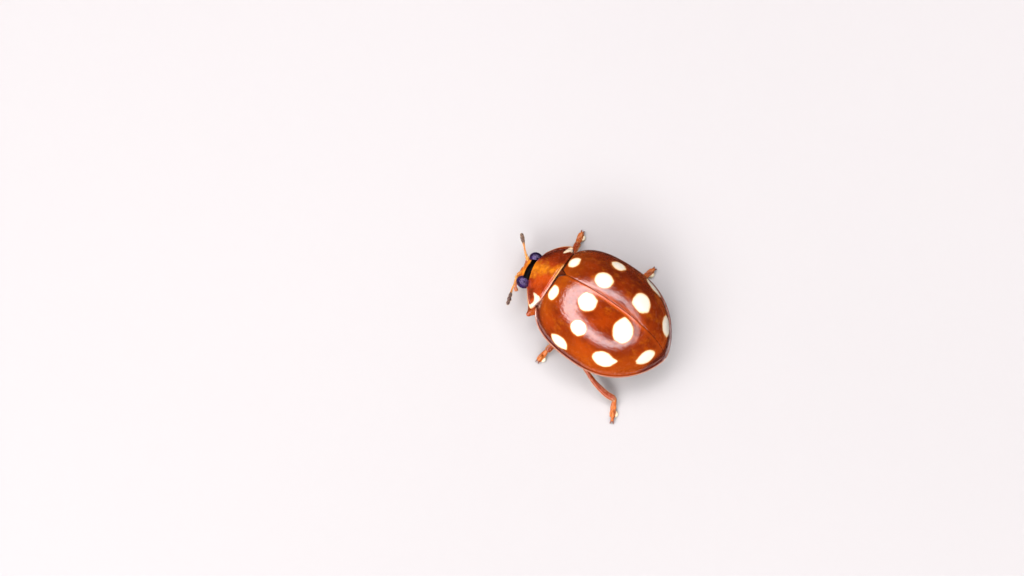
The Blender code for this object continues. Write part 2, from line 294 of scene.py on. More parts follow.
def solid_points(node):
    """A solid's corners in the beetle's own frame, in millimetres."""
    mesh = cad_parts[node].data
    found = np.empty(len(mesh.vertices) * 3)
    mesh.vertices.foreach_get("co", found)
    return (found.reshape(-1, 3) - HOME) / MM


def meeting(first, second, reach=0.04):
    """The middle of the cut between two neighbouring solids."""
    a, b = solid_points(first), solid_points(second)
    near = np.linalg.norm(a[:, None] - b[None], axis=2) < reach
    return (a[near.any(1)].mean(0) + b[near.any(0)].mean(0)) / 2


def far_end(node, start, depth=0.02):
    """The middle of the end of a solid that is farthest from a point."""
    points = solid_points(node)
    along = unit(points.mean(0) - start)
    reach = points @ along
    return points[reach > reach.max() - depth].mean(0)


def in_head(points):
    """From the head's straight frame to the turned head."""
    c, s = math.cos(HEAD_TURN), math.sin(HEAD_TURN)
    x, y, z = np.moveaxis(np.asarray(points, float), -1, 0)
    back = y - NECK[1]
    return sheet(NECK[0] + c * x - s * back, NECK[1] + s * x + c * back, z)


# Paint helpers

class Nodes:
    """Short ways to add nodes to a material or a world."""

    def __init__(self, tree):
        self.tree = tree

    def feed(self, sockets, values):
        """Each value is another node's output, a field's name, a colour or a number."""
        for socket, value in values.items():
            if isinstance(value, str):
                value = self.add("ShaderNodeAttribute", {}, "Fac", attribute_name=value)
            if isinstance(value, bpy.types.NodeSocket):
                self.tree.links.new(value, sockets[socket])
            elif hasattr(value, "__len__"):
                sockets[socket].default_value = (*value, 1)[:len(sockets[socket].default_value)]
            elif value is not None:
                sockets[socket].default_value = value

    def add(self, kind, values, output=0, **settings):
        """The output of a new node, which takes its values by the names or places of its sockets."""
        made = self.tree.nodes.new(kind)
        for name, setting in settings.items():
            setattr(made, name, setting)
        self.feed(made.inputs, values)
        return made.outputs[output]

    def math(self, operation, *values):
        return self.add("ShaderNodeMath", dict(enumerate(values)), operation=operation)

    def between(self, value, low, high, at_low=0, at_high=1):
        """Runs smoothly from at_low to at_high as the value goes from low to high."""
        values = dict(enumerate((value, low, high, at_low, at_high)))
        return self.add("ShaderNodeMapRange", values, interpolation_type="SMOOTHSTEP")


class Paint(Nodes):
    """A Principled material, with lengths in millimetres."""

    def __init__(self, name, roughness, coat=0, coat_roughness=0.05, specular=0.5):
        self.material = bpy.data.materials.new(name)
        self.material.use_nodes = True
        super().__init__(self.material.node_tree)
        self.give({"Roughness": roughness, "Coat Weight": coat, "Coat Roughness": coat_roughness,
                   "Specular IOR Level": specular})
        place = self.add("ShaderNodeTexCoord", {}, "Object")
        self.place = self.add("ShaderNodeVectorMath", {0: place, "Scale": 1 / MM}, operation="SCALE")

    def give(self, values):
        """Feeds the shader's sockets by their names."""
        self.feed(self.tree.nodes["Principled BSDF"].inputs, values)

    def noise(self, per_mm, detail=2, roughness=0.5, stretch=(1, 1, 1)):
        place = self.add("ShaderNodeMapping", {"Vector": self.place, "Scale": stretch})
        values = {"Vector": place, "Scale": per_mm, "Detail": detail, "Roughness": roughness}
        return self.add("ShaderNodeTexNoise", values, "Fac")

    def cloud(self, per_mm, detail=3, roughness=0.6, low=0.35, high=0.65):
        """Soft patches that run from 0 to 1."""
        return self.between(self.noise(per_mm, detail, roughness), low, high)

    def ragged(self, field, reach, per_mm, detail=3, roughness=0.6):
        """A field that noise pushes up and down, by half the reach at most."""
        push = self.math("SUBTRACT", self.noise(per_mm, detail, roughness), 0.5)
        return self.math("ADD", field, self.math("MULTIPLY", push, reach))

    def pits(self, per_mm, low=0.05, high=0.3):
        """Small round dents, 0 in their middles."""
        values = {"Vector": self.place, "Scale": per_mm}
        return self.between(self.add("ShaderNodeTexVoronoi", values, "Distance"), low, high)

    def both(self, first, second):
        """The product of two shares, each from what between takes."""
        return self.math("MULTIPLY", self.between(*first), self.between(*second))

    def mix(self, share, first, second):
        return self.add("ShaderNodeMix", {"Factor": share, 6: first, 7: second}, 2, data_type="RGBA")

    def layers(self, colour, *washes):
        """Lays washes over a colour: each is a share, or what between takes, and then a tint."""
        for *ramp, tint in washes:
            share = self.between(*ramp) if len(ramp) > 1 else ramp[0]
            colour = self.mix(share, colour, tint)
        return colour

    def relief(self, height, depth, under=None):
        """A bump that deep in millimetres where the height goes from 0 to 1."""
        values = {"Height": height, "Distance": depth * MM, "Normal": under}
        return self.add("ShaderNodeBump", values)

    def dimples(self, per_mm, depth, grain_per_mm, low=0.05):
        """Pits over a fine grain."""
        grain = self.relief(self.noise(grain_per_mm, 3), 0.003)
        return self.relief(self.pits(per_mm, low), depth, grain)

    def finish(self, colour, normal=None, gloss=None):
        """The material; gloss is how many patches of roughness a mm has, its least and its most."""
        self.give({"Base Color": colour, "Normal": normal})
        if gloss:
            per_mm, least, most = gloss
            self.give({"Roughness": self.between(self.noise(per_mm), 0.3, 0.7, least, most)})
        return self.material


# Wing cases

# Cream spots of the left wing case, 1, and the right one, -1: distance from the midline, place
# along it, half width, half length, turn in degrees of the width towards the rear, then the
# corners, each with its direction in degrees and how far it stands out
SPOTS = {
    1: ((0.645, -1.676, 0.233, 0.174, -8, ((197, 0.22),)),
        (0.43, -0.666, 0.275, 0.285, 0, ((127, 0.14), (217, 0.12), (356, 0.06), (70, 0.06))),
        (1.179, -0.453, 0.246, 0.256, 0, ((20, 0.08), (150, 0.06))),
        (1.69, -0.708, 0.27, 0.315, -8, ((262, 0.14), (72, 0.16))),
        (0.53, 0.71, 0.366, 0.32, 34, ((209, 0.22), (352, 0.07))),
        (1.455, 0.715, 0.298, 0.366, 0, ((114, 0.4),)),
        (0.592, 1.772, 0.335, 0.262, -22, ((357, 0.12), (328, 0.14)))),
    -1: ((0.519, -1.68, 0.228, 0.17, -14, ((23, 0.18), (196, 0.16))),
         (0.444, -0.629, 0.274, 0.284, 0, ((233, 0.08), (59, 0.08))),
         (1.24, -0.518, 0.25, 0.224, 0, ((87, 0.16), (270, 0.14))),
         (1.7, -0.69, 0.235, 0.3, 0, ((280, 0.12), (72, 0.12))),
         (0.568, 0.703, 0.332, 0.304, -12, ((230, 0.26), (106, 0.14))),
         (1.51, 0.749, 0.34, 0.36, -8, ((125, 0.18),)),
         (0.665, 1.755, 0.328, 0.32, -24, ((138, 0.14), (315, 0.14)))),
}
CORNER_SOFT = 0.08              # how round the corners are, in radians about the spot's middle


def fall(share, power, root):
    """1 where the share is 0, falling to 0 where it is 1 or more."""
    return np.maximum(0, 1 - np.abs(share) ** power) ** root


def fall_along(y, front, rear, inset):
    """1 at the widest place, falling to 0 at the two ends; an inset shortens the rear."""
    y = np.asarray(y, float)
    return np.where(y < 0, fall(y / front[0], *front[1:]), fall(y / (rear[0] - inset), *rear[1:]))


def dome_half_width(y, inset=0.0):
    return (HALF_WIDTH - inset) * fall_along(y, FRONT_PLAN, REAR_PLAN, inset)


def dome_rise(x, y, inset=0.0):
    """Height of the dome's surface above its rim, and 0 outside its outline."""
    across = fall(x / np.maximum(dome_half_width(y, inset), 1e-9), *SECTION)
    return (DOME_HEIGHT - inset) * fall_along(y, FRONT_PROFILE, REAR_PROFILE, inset) * across


def base_line(x):
    return BASE_Y - BASE_SWEEP * x * x


def scutellum_half_width(y):
    return np.maximum(0, SCUTELLUM_HALF * (1 - (y - BASE_Y) / SCUTELLUM_LENGTH))


def wing_plan(rows_front=52, rows_rear=96, columns=62, margin_columns=12):
    """Plan places of a left wing case's mesh, in rows from the midline to the outline."""
    front = SHOULDER_Y * (1 - np.linspace(0, 1, rows_front, endpoint=False))
    tip = math.asin((1 - (HALF_GAP / HALF_WIDTH) ** (1 / REAR_PLAN[2])) ** (1 / REAR_PLAN[1]))
    outline_y = np.concatenate((front, REAR_PLAN[0] * np.sin(np.linspace(0, tip, rows_rear))))
    outline = np.stack((dome_half_width(outline_y), outline_y), -1)
    crowd = np.where(outline_y < 0, (outline_y / SHOULDER_Y) ** 2, 0)
    inner_y = outline_y * (SUTURE_SHARE + (1 - SUTURE_SHARE) * crowd)
    inner_y[0] = BASE_Y
    inner = np.stack((HALF_GAP + scutellum_half_width(inner_y), inner_y), -1)
    low, high = np.zeros(len(outline)), np.ones(len(outline))
    for _ in range(40):
        middle = (low + high) / 2
        x, y = (inner + middle[:, None] * (outline - inner)).T
        inside = (x < dome_half_width(y, MARGIN)) & (y < REAR_PLAN[0] - MARGIN)
        low, high = np.where(inside, middle, low), np.where(inside, high, middle)
    foot = np.minimum(low, 1 - 0.2 * MARGIN)[:, None]
    dome = foot * np.sin(np.linspace(0, math.pi / 2, columns))
    flare = foot + (1 - foot) * np.linspace(0, 1, margin_columns + 1)[1:]
    share = np.hstack((dome, flare))
    across = share[:, :, None]
    return inner[:, None] * (1 - across) + outline[:, None] * across, (share - foot) / (1 - foot)


def outline_gap(points):
    """Plan distance to the outline of the dome, near enough for thin bands along it."""
    outline_y = np.concatenate((np.linspace(SHOULDER_Y, 0, 200),
                                REAR_PLAN[0] * np.sin(np.linspace(0, math.pi / 2, 300))))
    return gaps(sheet(dome_half_width(outline_y), outline_y, 0.0),
                sheet(np.abs(points[:, 0]), points[:, 1], 0.0))


def spot_distance(points, side):
    """Distance outside the nearest cream spot, or minus the distance inside it."""
    nearest = np.full(len(points), 9.0)
    step = 0.01
    for x, y, half_width, half_length, turn, corners in SPOTS[side]:
        slope_x = float(dome_rise(x + step, y) - dome_rise(x - step, y)) / (2 * step)
        slope_y = float(dome_rise(x, y + step) - dome_rise(x, y - step)) / (2 * step)
        across, along = unit([1, 0, slope_x]), unit([0, 1, slope_y])
        away = points * (side, 1, 1) - (x, y, RIM_HEIGHT + dome_rise(x, y))
        turned = np.arctan2(away @ along, away @ across) - math.radians(turn)
        edge = 1 / np.hypot(np.cos(turned) / half_width, np.sin(turned) / half_length)
        turned = np.arctan2(np.sin(turned) * half_width, np.cos(turned) * half_length)
        stand_out = np.ones(len(points))
        for direction, sharpness in corners:
            aim = math.radians(direction - turn)
            aim = math.atan2(math.sin(aim) * half_width, math.cos(aim) * half_length)
            from_corner = np.abs(np.arctan2(np.sin(turned - aim), np.cos(turned - aim)))
            tangent = math.acos(1 / (1 + sharpness))
            past_tangent = np.maximum(0, tangent - np.hypot(from_corner, CORNER_SOFT))
            stand_out = np.maximum(stand_out, 1 / np.cos(past_tangent))
        nearest = np.minimum(nearest, np.linalg.norm(away, axis=1) - edge * stand_out)
    return nearest


def wing_case_paint():
    p = Paint("wing_case_paint", 0.25, coat=1, coat_roughness=0.07, specular=0.08)
    cloud = p.between(p.noise(1.3, 4, 0.65, (1, 0.7, 1)), 0.38, 0.64)
    streaks = p.noise(5, 4, 0.65, (1, 0.5, 1))
    warm = p.noise(3.4, 4, 0.65, (1, 0.6, 1))
    # A paler strip beside the seam, part colour and part painted highlight: it is nearly three times
    # stronger on the left wing case, where the light falls
    strip = p.math("MULTIPLY",
                   p.both(("from_suture", 0.07, 0.16, 0.9, 0), ("across", -0.03, 0.03, 0.35, 1)),
                   p.both(("along", 0.5, 1.6, 1, 0.25), ("along", -1.5, -0.9, 0.25, 1)))
    flank = p.both(("from_edge", 0.1, 0.6, 0.55, 0), ("along", -0.9, 0, 0.2, 1))
    # Painted highlight: a pale line just inside the outer edge, full on the left wing case and faint on
    # the right
    line = p.both(("from_edge", 0.018, 0.034, 0.8, 0), ("across", -0.6, 0.4, 0.1, 1))
    # Painted shade: a dark band along the rim, widest at the front and narrowing towards the rear
    painted_rim_shade = p.math("ADD", "from_edge", p.between("along", -0.2, 1.2, 0, 0.09))
    # Painted shade: a dark band along the margin of the rear tip, where the steep end turns away from the
    # light
    tip = p.math("SUBTRACT", "from_edge", p.between("along", 1.66, 2.08, 0, 0.23))
    spot = p.ragged("spot", 0.05, 7)
    ground = p.layers(
        p.mix(cloud, (0.18, 0.018, 0.001), (0.29, 0.033, 0.001)),
        # Painted shade: the right wing case darkens towards its outer side, which faces away from the
        # light
        ("across", -1.5, 0.2, 0.8, 0, p.mix(cloud, (0.12, 0.012, 0.001), (0.22, 0.023, 0.001))),
        (streaks, 0.46, 0.72, 0, 0.65, (0.13, 0.012, 0.001)),
        (warm, 0.5, 0.72, 0, 0.6, (0.42, 0.092, 0.002)),
        ("from_base", 0.15, 0.75, 0.5, 0, (0.33, 0.06, 0.002)),
        # paler strip by the seam, partly painted highlight
        (strip, (0.54, 0.082, 0.003)),
        (flank, (0.54, 0.085, 0.002)),
        # painted shade along the rim
        (painted_rim_shade, 0.05, 0.15, 0.9, 0, (0.08, 0.009, 0.006)),
        # painted shade at the rear tip
        (tip, -0.1, 0.12, 0.92, 0, (0.085, 0.008, 0.005)),
        # painted highlight along the outer edge
        (line, (0.72, 0.34, 0.22)),
        (spot, 0, 0.06, 0.5, 0, (0.6, 0.16, 0.015)))
    cream = p.layers((0.92, 0.87, 0.74), (spot, -0.075, -0.01, 0, 1, (0.92, 0.7, 0.34)),
                     (p.noise(3.2), 0.3, 0.7, 0, 0.3, (0.88, 0.8, 0.64)))
    colour = p.layers(cream, (spot, -0.016, 0.012, 0, 1, ground),
                      # Painted shade: a dark line down the nearly shut seam, standing in for the shadow
                      # in the gap between the wing cases
                      ("from_suture", 0.004, 0.014, 0.85, 0, (0.06, 0.008, 0.003)),
                      # A dark joint at the wing cases' front edge, deepened by painted shade under the
                      # pronotum's rear edge
                      ("from_base", 0.015, 0.045, 0.9, 0, (0.02, 0.003, 0.002)))
    pits = p.pits(15, 0.06)
    waves = p.relief(p.noise(3, 3, 0.6), 0.01,
                     p.relief(p.noise(13, 3, 0.6, (1, 0.5, 1)), 0.0065))
    p.give({"Coat IOR": 1.75, "Coat Normal": p.relief(pits, 0.0015, waves)})
    normal = p.relief(pits, 0.002, p.relief(p.noise(9, 3, 0.55), 0.002))
    return p.finish(colour, normal, (6, 0.2, 0.3))


def make_wing_cases():
    paint = wing_case_paint()
    plan, flare = wing_plan()
    x, y = plan[..., 0], plan[..., 1]
    lip = MARGIN_HEIGHT - MARGIN_DIP * np.clip(flare, 0, 1) + MARGIN_ROLL * blend(0.7, 1.0, flare)
    fade = np.minimum(1, dome_half_width(y) / 0.3)
    rise = smooth_max(dome_rise(x, y, MARGIN), lip * np.maximum(fade, 0.6), 0.05)
    rise = rise + (DOME_HEIGHT - rise.max()) * blend(0.0, 0.5, rise) * (rise / rise.max())
    depth, reach = SEAM_GROOVE
    groove = depth * (1 - blend(0.0, reach, x - HALF_GAP)) * blend(0.1, 0.5, rise)
    hollow = dome_rise(x, y, EPIPLEURON) * (DOME_HEIGHT - SHELL) / (DOME_HEIGHT - EPIPLEURON)
    shelf = 0.03 * blend(0.0, 0.4, 1 - (y + 2) / 4.4) * blend(0.0, 0.2, -flare)
    under_z = RIM_HEIGHT + np.minimum(hollow + shelf, rise - 0.02)
    points, faces = slab(x, y, RIM_HEIGHT + rise - groove, under_z)
    x, y = points[:, 0], points[:, 1]
    near_edge = outline_gap(points)
    for side, name in SIDES:
        own = points * (side, 1, 1)
        shape = Shape().add(own, faces, spot=spot_distance(own, side), from_suture=x, from_edge=near_edge,
                            across=own[:, 0], along=y, from_base=y - base_line(x))
        make_piece(f"wing_case_{name}", shape, paint, "wing_case", f"elytron_{name}")


# Scutellum

def scutellum_paint():
    p = Paint("scutellum_paint", 0.3, coat=0.3, specular=0.15)
    colour = p.layers(p.mix(p.cloud(6, 2, 0.5), (0.035, 0.006, 0.002), (0.1, 0.016, 0.003)),
                      ("rim", 0.72, 0.95, 0, 1, (0.015, 0.004, 0.003)))
    return p.finish(colour, p.relief(p.noise(30), 0.003))


def make_scutellum():
    """A small triangle sunk between the wing cases, which runs on below the pronotum."""
    hidden, gap, depth = 0.05, 0.004, 0.3
    u, v = grid(28, 28)
    u = 2 * u - 1
    y = BASE_Y - hidden + v * (SCUTELLUM_LENGTH + hidden)
    x = u * np.maximum(0.003, np.minimum(1.0, scutellum_half_width(y) / SCUTELLUM_HALF)
                       * (SCUTELLUM_HALF - gap))
    sunk = 0.012 + 0.02 * blend(0.55, 1.0, np.abs(u))
    top = RIM_HEIGHT + dome_rise(x, y) - sunk
    shape = plate(x, y, top, top - depth, rim=np.maximum(np.abs(u), v ** 3))
    make_piece("scutellum_plate", shape, scutellum_paint(), "scutellum", "scutellum")


# Pronotum

# Strokes of the cream boot at each hind corner, its sole and its prong, and of the painted brown
# shadow before the left one: start, end, and half widths at the two
LEFT_BOOT = (((1.12, -2.03), (0.97, -1.9), 0.06, 0.08), ((0.95, -1.95), (0.8, -2.17), 0.08, 0.008))
RIGHT_BOOT = (((-1.04, -1.98), (-0.7, -2.12), 0.115, 0.012),
              ((-1.04, -1.98), (-0.91, -1.89), 0.115, 0.045))
SHADOW_STROKES = (((0.76, -2.28), (0.92, -2.16), 0.04, 0.03),)


def side_height(v):
    """Height of the pronotum's side edge from the rear, v = 0, to the front, v = 1."""
    return from_to(*PRONOTUM_SIDE_Z, v)


def pronotum_half_width(v):
    """Half width from the rear edge, v = 0, to the front edge, v = 1, with round corners."""
    plain = from_to(*PRONOTUM_HALVES, v ** PRONOTUM_TAPER)
    return plain - 0.13 * (1 - blend(-0.02, 0.16, v)) - 0.05 * blend(0.88, 1.0, v)


def pronotum_plan(u, v):
    """Plan place for u across, -1 to 1, and v forward, 0 to 1."""
    x = u * pronotum_half_width(v)
    rear = BASE_Y - PRONOTUM_GAP + 0.02 * u * u - 0.07 * blend(0.8, 1.0, np.abs(u))
    front = PRONOTUM_FRONT_Y + PRONOTUM_BOW * u * u
    return x + from_to(*PRONOTUM_SKEW, v), from_to(rear, front, v) + PRONOTUM_SLANT * x * v


def near_strokes(x, y, strokes):
    """Plan distance outside the nearest of some tapered strokes, smooth where they meet."""
    nearest = np.full(x.shape, 9.0)
    for start, end, wide, narrow in strokes:
        run = np.subtract(end, start)
        share = np.clip(((x - start[0]) * run[0] + (y - start[1]) * run[1]) / (run @ run), 0, 1)
        reach = np.hypot(x - start[0] - share * run[0], y - start[1] - share * run[1])
        nearest = -smooth_max(-nearest, -(reach - wide - share * (narrow - wide)), 0.03)
    return nearest


def pronotum_paint():
    p = Paint("pronotum_paint", 0.25, coat=0.9, coat_roughness=0.08, specular=0.15)
    cloud = p.cloud(2.2)
    gold = p.mix(p.cloud(5), (0.38, 0.085, 0.003), (0.66, 0.205, 0.006))
    mark = p.ragged("cream", 0.06, 9)
    # Colour of the raised rear bead: a pale pinkish painted highlight on the left, plain orange in the
    # middle and painted shade on the right
    bead = p.layers((0.84, 0.36, 0.27), ("right", -0.45, -0.15, 0, 1, (0.7, 0.34, 0.1)),
                    ("right", 0.2, 0.36, 0, 1, (0.2, 0.025, 0.004)))
    # A dark joint line along the rear edge, deepened on the right by painted shade in the gap
    joint = p.both(("seam", 0.012, 0.032, 0.9, 0), ("right", -0.8, -0.2, 0.5, 1))
    colour = p.layers(
        p.mix(cloud, (0.26, 0.024, 0.002), (0.44, 0.055, 0.003)),
        # Painted shade: the right side of the pronotum darkens, as it faces away from the light
        ("right", 0.1, 0.45, 0, 0.9, p.mix(cloud, (0.085, 0.007, 0.001), (0.2, 0.019, 0.002))),
        (p.ragged("middle", 0.9, 4.5, 4, 0.65), 0.08, 0.38, 0.92, 0, gold),
        # painted brown shadow before the left cream boot
        ("smudge", -0.03, 0.07, 0.8, 0, (0.12, 0.013, 0.002)),
        (mark, -0.01, 0.05, 0.6, 0, (0.16, 0.02, 0.003)),
        (mark, -0.012, 0.012, 1, 0, (0.88, 0.66, 0.4)),
        (mark, -0.05, -0.012, 1, 0, (0.9, 0.8, 0.62)),
        ("rim", 0.018, 0.042, 0.75, 0, (0.8, 0.44, 0.2)),
        # painted highlight and painted shade on the rear bead
        ("seam", 0.055, 0.085, 0.9, 0, bead),
        # dark joint with painted shade
        (joint, (0.03, 0.005, 0.003)))
    return p.finish(colour, p.dimples(17, 0.003, 10, 0.06), (6, 0.2, 0.32))


def make_pronotum():
    u, v, reach = crowded_grid(120, 60)
    v = v - 0.03 * np.sin(2 * math.pi * v)
    x, y = pronotum_plan(u, v)
    width, side_z = pronotum_half_width(v), side_height(v)
    middle = from_to(*PRONOTUM_TOP_Z, v ** 1.25)
    flange = PRONOTUM_FLANGE / width
    arch = fall(reach / (1 - flange), 2.2, 0.55)
    lip = 0.03 * blend(1 - flange, 1 - 0.35 * flange, reach)
    lip = lip - 0.03 * blend(1 - 0.2 * flange, 1.0, reach)
    top_z = side_z + 0.03 + smooth_max((middle - side_z - PRONOTUM_EDGE) * arch, lip, 0.03)
    bead = 0.024 * bell(v, 0.045, 0.022)
    valley = 0.014 * bell(v, 0.11, 0.03)
    roll = 0.06 * (1 - blend(0.0, 0.03, v)) + 0.09 * blend(0.97, 1.0, v)
    z = top_z + bead - valley - roll * blend(0.0, 0.3, arch)
    under_z = side_z + 0.55 * (z - side_z) * blend(0.35, 0.0, reach)
    cream = np.minimum(near_strokes(x, y, LEFT_BOOT), near_strokes(x, y, RIGHT_BOOT))
    from_middle = np.abs(x + 0.03 - 0.14 * v) * (1.0 + 1.1 * bell(v, 0.36, 0.17))
    shape = plate(x, y, z, np.minimum(under_z, z - 0.02), cream=cream, middle=from_middle, right=-x,
                  smudge=near_strokes(x, y, SHADOW_STROKES), rim=(1 - reach) * width,
                  seam=v * (BASE_Y - PRONOTUM_FRONT_Y))
    make_piece("pronotum_plate", shape, pronotum_paint(), "pronotum", "pronotum")


# Underside

BELLY_PLATE_EDGES = (0.1, 0.62, 0.95, 1.22, 1.45, 1.64, 1.84)
BREAST_PLATE_EDGES = ((-1.12, 0.25), (-1.55, -0.1))     # place on the midline, and bow
PLATE_STEP = 0.022
BELLY_INSET = 0.4
BELLY_DEPTH = 0.2


def chitin(name, dark, light, per_mm, roughness, coat, pits):
    """Plain shell: clouded between two colours, with fine dimples."""
    p = Paint(name, roughness, coat=coat, coat_roughness=0.15)
    colour = p.mix(p.cloud(per_mm, low=0.32, high=0.68), dark, light)
    return p.finish(colour, p.dimples(pits, 0.003, 12), (8, roughness - 0.08, roughness + 0.08))


def belly_paint():
    p = Paint("belly_paint", 0.35, coat=0.3, coat_roughness=0.12)
    colour = p.layers(
        p.mix(p.cloud(2.5, low=0.32, high=0.68), (0.16, 0.03, 0.01), (0.3, 0.06, 0.014)),
        ("outer", 0.55, 0.95, 0, 0.7, (0.42, 0.1, 0.02)),
        ("crease", 0, 0.05, 0.8, 0, (0.06, 0.012, 0.006)))
    return p.finish(colour, p.dimples(18, 0.004, 12), (8, 0.28, 0.42))


def make_trunk(paint):
    """The breast and belly as one shell: three breast plates and six belly plates."""
    u, v, reach = crowded_grid(64, 190)
    first, last = base_line(u * PRONOTUM_HALVES[0]) + 0.03, REAR_PLAN[0] - BELLY_INSET - 0.02
    y = from_to(first, last, v)
    x = u * np.maximum(dome_half_width(y, BELLY_INSET), 0.02)
    depth = BELLY_DEPTH * (1 - np.maximum(0, y / last) ** 4) * (1 - reach ** 3)
    crease = np.full(x.shape, 1.0)
    step = np.zeros(x.shape)
    for near, far in zip(BELLY_PLATE_EDGES, BELLY_PLATE_EDGES[1:]):
        past = y - near + 0.1 * u * u
        share = past / (far - near)
        inside = (share >= 0) & (share < 1)
        step = np.where(inside, PLATE_STEP * blend(0.0, 0.95, share), step)
        crease = np.minimum(crease, np.abs(past))
    for edge, bow in BREAST_PLATE_EDGES:
        past = y - edge - bow * u * u
        step = step + np.where(past < 0, 0.02 * blend(-0.25, -0.02, past), 0)
        crease = np.minimum(crease, np.abs(past))
    groove = 0.018 * bell(x, 0, 0.018) * blend(-1.0, -0.8, y) * (1 - blend(-0.05, 0.1, y))
    z = RIM_HEIGHT - depth - (step - groove) * blend(1.0, 0.9, reach)
    shape = plate(x, y, RIM_HEIGHT + 0.06, z, outer=reach, crease=crease)
    make_piece("breast_and_belly", shape, paint, "underside", "thorax", "abdomen")


def make_prosternum(paint):
    """The ring below the pronotum, with a keel between the front legs."""
    u, v, reach = crowded_grid(48, 40)
    y = from_to(-1.915, -2.5, v) + 0.05 * (1 - u * u) * v
    x = u * (0.93 - 0.4 * v ** 1.6) + PRONOTUM_SKEW[1] * v
    bulge = 1 - reach ** 2.5
    keel = 0.035 * bell(x, 0, 0.07) * (1 - blend(0.4, 0.9, v))
    z = 0.82 - 0.24 * bulge ** 0.7 * (1 - 0.35 * v * v) - keel
    shape = plate(x, y, side_height(v) + 0.02 + 0.1 * bulge, z, outer=0.8 * reach, crease=1.0)
    make_piece("prosternum", shape, paint, "underside", "prothorax")


# Head

FACET_LEVEL = 4                 # the eye's facets are the corners of a ball of this level
FACET_RISE = 0.0045


def head_paint():
    p = Paint("head_paint", 0.42, coat=0.02, coat_roughness=0.2, specular=0.02)
    cloud = p.cloud(6)
    orange = p.mix(cloud, (0.5, 0.12, 0.012), (0.74, 0.24, 0.02))
    black = p.mix(cloud, (0.001, 0.0008, 0.0008), (0.005, 0.003, 0.002))
    colour = p.layers(black, (p.ragged("face", 0.05, 10), -0.012, 0.012, 0, 1, orange))
    return p.finish(colour, p.dimples(24, 0.0035, 16), (9, 0.36, 0.5))


def make_head():
    """The head capsule with a flattened face, cheeks below the eyes and a brow line."""
    points, faces = ball(level=6)
    x, y, z = points.T
    ahead = np.maximum(0, -y)
    broad = 1 + 0.05 * blend(0.2, 0.8, np.abs(x)) * blend(-0.6, 0.2, -np.abs(z))
    flat = 1 - 0.1 * ahead ** 3 * blend(-0.2, 0.6, z)
    points = sheet(x * broad, y * flat, z * (1 - 0.06 * ahead ** 2))
    x, y, z = (np.asarray(HEAD_CENTRE) + points * np.asarray(HEAD_RADII)).T
    brow = bell(y + 2.8 - 0.1 * x ** 2, 0, 0.014)
    z = z - 0.014 * brow * blend(0.5, 0.35, np.abs(x)) * blend(0.6, 0.75, z)
    z = HEAD_CENTRE[2] + (z - HEAD_CENTRE[2]) * (1 - 0.12 * blend(-2.62, -2.5, y))
    front = -y - (2.8 - 0.05 * np.abs(x) - 0.1 * x ** 2)
    cheek = 0.74 - 0.12 * blend(-2.7, -2.5, y) - z
    shape = Shape().add(in_head(sheet(x, y, z)), faces, face=smooth_max(front, cheek, 0.05))
    make_piece("head_capsule", shape, head_paint(), "head", "head")


def eye_paint():
    p = Paint("eye_paint", 0.17, coat=0.5, coat_roughness=0.07, specular=1)
    p.give({"Specular Tint": (0.62, 0.45, 1), "Sheen Weight": 0.15, "Sheen Tint": (0.45, 0.3, 0.9)})
    colour = p.layers(p.mix(p.cloud(5, 2, 0.5), (0.005, 0.002, 0.013), (0.028, 0.01, 0.07)),
                      ("pit", 0.55, 1, 0, 0.8, (0.002, 0.001, 0.004)))
    return p.finish(colour, p.relief(p.noise(20), 0.001))


def make_eyes():
    paint = eye_paint()
    points, faces = ball(level=7)
    away = gaps(ball(level=FACET_LEVEL)[0], points)
    away = np.minimum(1, away / np.quantile(away, 0.995))
    for side, name in SIDES:
        own = points * (np.asarray(EYE_RADII) - FACET_RISE * away[:, None] ** 2)
        own = own * (side, 1, 1) + (side * EYE_CENTRE[0], EYE_CENTRE[1], EYE_CENTRE[2])
        shape = Shape().add(in_head(own), faces, pit=away)
        make_piece(f"eye_{name}_facets", shape, paint, "eye", f"eye_{name}")


# Rows for sweep in the head's straight frame, for the left one of each pair
MAXILLA = ((0.26, -2.72, 0.5, 0.07, 0.07), (0.26, -2.8, 0.47, 0.07, 0.07),
           (0.2, -2.87, 0.44, 0.05, 0.05))
LIP_PALP = ((0.07, -2.89, 0.38, 0.026, 0.026), (0.1, -2.91, 0.34, 0.03, 0.03),
            (0.115, -2.92, 0.31, 0.022, 0.022))
JAW = ((0.2, -2.76, 0.475, 0.05, 0.035), (0.17, -2.82, 0.455, 0.05, 0.035),
       (0.09, -2.86, 0.43, 0.035, 0.03), (0.02, -2.865, 0.41, 0.012, 0.012))


def lip(centre, half_width, length, thickness, bow, taper, crown=0.03, drop=0.11):
    """A small face plate that runs forward and down from its hinge line."""
    u, v, reach = crowded_grid(24, 14)
    round_off = 1 - 0.25 * blend(0.75, 1.0, v) * reach
    x = centre[0] + u * half_width * (1 - taper * v ** 2) * round_off
    y = centre[1] - length * v * (1 - bow * u * u)
    z = centre[2] - drop * v ** 1.5 + crown * (1 - u * u) - crown * v ** 4
    rim = 1 - 0.75 * np.maximum(reach ** 6, v ** 6)
    return slab(x, y, z, z - thickness * rim)


